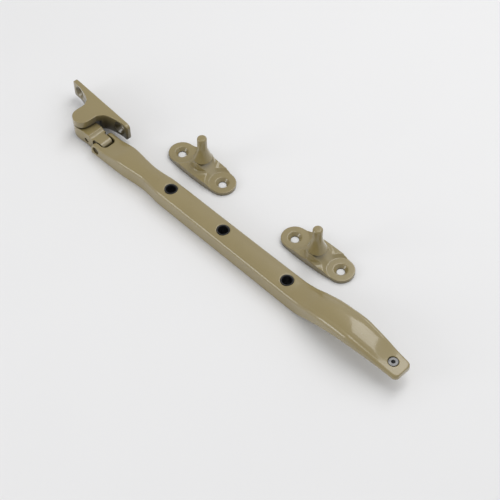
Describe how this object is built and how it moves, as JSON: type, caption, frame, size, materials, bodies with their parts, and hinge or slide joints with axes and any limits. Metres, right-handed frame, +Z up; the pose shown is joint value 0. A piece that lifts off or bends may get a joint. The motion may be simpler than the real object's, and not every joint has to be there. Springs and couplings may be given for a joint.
{
  "type": "casement peg stay",
  "caption": "Painted casement window stay: sash bracket, swinging knuckle, slotted arm with bushed peg holes and a raised handle, with loose peg plates.",
  "frame": {"origin": "middle of the bounding box, on the table the set rests on", "axes": "+X along the arm from the sash bracket to the tip of the handle, +Y towards the sash side where the peg plates lie, +Z up through the peg holes"},
  "size_m": [0.297, 0.0516, 0.0278],
  "materials": {
    "paint": "satin powder coat in a light bronze-olive",
    "nylon": "moulded black",
    "steel": "zinc plated"
  },
  "bodies": {
    "bracket": {"sash_bracket": "paint", "swing_rivet": "steel", "lug_washer": "nylon", "rivet_washer": "steel", "peg_plate_1": "paint", "peg_1": "paint", "peg_plate_2": "paint", "peg_2": "paint"},
    "knuckle": {"knuckle": "paint"},
    "arm": {"arm": "paint", "lift_pin": "steel", "bush_1": "nylon", "bush_2": "nylon", "bush_3": "nylon"},
    "lock_screw": {"lock_screw": "steel"}
  },
  "joints": [
    {"name": "swing", "type": "hinge", "parent": "bracket", "child": "knuckle", "pos_m": [-0.12069, -0.01601, 0.01], "axis": [0, 0, 1], "range_deg": [-187, 0]},
    {"name": "lift", "type": "hinge", "parent": "knuckle", "child": "arm", "pos_m": [-0.10079, -0.01601, 0.00435], "axis": [0, -1, 0], "range_deg": [0, 90]},
    {"name": "lock_turn", "type": "hinge", "parent": "arm", "child": "lock_screw", "pos_m": [0.14031, -0.01601, 0.0127], "axis": [0, 0, 1], "range_deg": [0, 720]}
  ]
}
